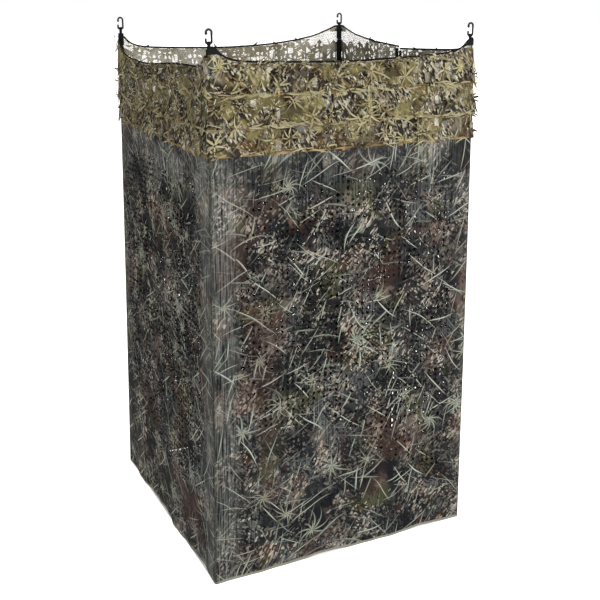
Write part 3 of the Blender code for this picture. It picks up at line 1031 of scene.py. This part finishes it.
def corner_web(wall, part):
    """Doubled webbing that gathers the wall's top corner to its pole."""
    skin = Skin(wall)
    rows = 5
    table = []
    for gap in SEAM_COLUMNS + [0.026, 0.033, 0.040, 0.046]:
        s = gap if part == "start" else wall.width - gap
        top = wall.top(s) + 0.001
        drop = max(0.0055, top - WEB_LOW) / rows
        table.append([skin.add(s, top - drop * k, 0.0021, (gap, 0.1 - drop * k))
                      for k in range(rows + 1)])
    skin.quads(table if part == "start" else table[::-1], flip=True)
    piece = skin.sew("corner_web", part, TAPE, thickness=0.0010)
    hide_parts("%s_corner_gusset_%s" % (wall.name, part))


def closing_patch(wall):
    """Stitched hook-and-loop patch inside a flap's free edge."""
    low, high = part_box(wall.name + "_closure")
    skin = Skin(wall)
    tall = high.z - low.z
    table = []
    for a in lines(0.0, 1.0, 1.0 / 6.0):
        column = []
        for b in lines(0.0, 1.0, 0.1):
            rim = min(a, 1.0 - a, b, 1.0 - b)
            puff = 0.0009 * min(1.0, rim / 0.12) - (0.0005 if 0.10 < rim < 0.2 else 0.0)
            column.append(skin.add(wall.width - PATCH_WIDTH * (1.0 - a), low.z + tall * b,
                                   -0.0035 - puff, (0.5 + a * PATCH_WIDTH, b * tall)))
        table.append(column)
    skin.quads(table, flip=True)
    piece = skin.sew("closing_patch", "main", TAPE, thickness=0.0012, offset=-1.0)
    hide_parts(wall.name + "_closure")


def dress_walls():
    for wall in WALLS:
        cloth = printed_wall(wall)
        nets = netting(wall)
        rows = leafy_rows(wall)
        hems = binding(wall)
        corner_web(wall, "start")
        if not wall.door:
            corner_web(wall, "end")
        else:
            closing_patch(wall)
        mid = float(np.mean([wall.top(s) for s in np.linspace(0.0, wall.width, 9)]))


def dress_posts():
    """Better finishes for the CAD solids that stay."""
    looks = {
        "pole_sleeve_": webbing("sleeve_cloth", "#0a0a0b", "#1b1c1d", 0.85, 300.0, False),
        "hook_loop_": webbing("loop_webbing", "#070708", "#161718", 0.80, 260.0, False),
        "pole_": hard_plastic("drawn_tube", "#17181a", "#2a2b2d", 0.42, 900.0, 0.0002),
        "foot_cap_": hard_plastic("cap_rubber", "#151515", "#2b2a28", 0.78, 500.0, 0.0004),
        "hook_": hard_plastic("moulded_hook", "#060607", "#131415", 0.48, 700.0, 0.0002),
    }
    for name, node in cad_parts.items():
        for start, look in looks.items():
            if name.startswith(start):
                node.data.materials.clear()
                node.data.materials.append(look)
                break


# ==================================================================== stage
def floor():
    """Pale ground: it glows a little outside the walls, so that no shadow shows."""
    corners = (("front_left", -1, -1), ("front_right", 1, -1), ("back_right", 1, 1),
               ("back_left", -1, 1))
    foot = {name: POLE_OFFSET + FLARE[name][0] - 0.003 for name, _, _ in corners}
    rims = [[(x * 30.0, y * 30.0, -0.001) for _, x, y in corners],
            [(x * foot[name], y * foot[name], -0.001) for name, x, y in corners]]
    faces = [(k, (k + 1) % 4, 4 + (k + 1) % 4, 4 + k) for k in range(4)] + [(4, 5, 6, 7)]
    mesh = bpy.data.meshes.new("studio_floor")
    mesh.from_pydata(rims[0] + rims[1], [], faces)
    for name, glow in (("pale_floor", 0.72), ("pale_floor_inside", 0.0)):
        made, nodes = start_material(name, 0.9, 0.1)
        nodes.send("Base Color", (0.9, 0.9, 0.9, 1.0))
        nodes.send("Emission Color", (1.0, 1.0, 1.0, 1.0))
        nodes.send("Emission Strength", glow)
        mesh.materials.append(made)
    mesh.polygons[4].material_index = 1
    ground = new_object("studio_floor", mesh)


def lights():
    world = bpy.data.worlds.new("white_room")
    bpy.context.scene.world = world
    world.use_nodes = True
    sky = world.node_tree.nodes["Background"]
    sky.inputs["Color"].default_value = (1.0, 1.0, 1.0, 1.0)
    sky.inputs["Strength"].default_value = 1.0
    middle = Vector((0.0, 0.0, 0.95))
    for name, spot, power, size in (("key", (2.2, -5.6, 3.4), 330.0, 1.6),
                                    ("rim", (5.0, 3.0, 4.5), 60.0, 3.0)):
        lamp = bpy.data.lights.new(name, "AREA")
        lamp.energy = power
        lamp.size = size
        made = new_object(name, lamp)
        made.location = spot
        made.rotation_mode = "QUATERNION"
        made.rotation_quaternion = (middle - Vector(spot)).to_track_quat("-Z", "Y")


def camera():
    """View of the front and left walls, from a little above head height."""
    spot = (-1.517, -3.251, 1.995)
    azimuth, elevation = math.radians(-25.86), math.radians(17.23)
    data = bpy.data.cameras.new("camera")
    data.sensor_width = 36.0
    data.lens = 59.02
    data.shift_y = -20.0 / 600.0
    data.clip_end = 200.0
    made = new_object("camera", data)
    back = Vector((math.sin(azimuth) * math.cos(elevation),
                   -math.cos(azimuth) * math.cos(elevation), math.sin(elevation)))
    right = Vector((math.cos(azimuth), math.sin(azimuth), 0.0))
    up = back.cross(right)
    turned = Matrix((right, up, back)).transposed().to_4x4()
    made.matrix_world = Matrix.Translation(spot) @ turned
    bpy.context.scene.camera = made
    bpy.context.scene.view_settings.view_transform = "Standard"


camera()
floor()
lights()
dress_posts()
dress_walls()
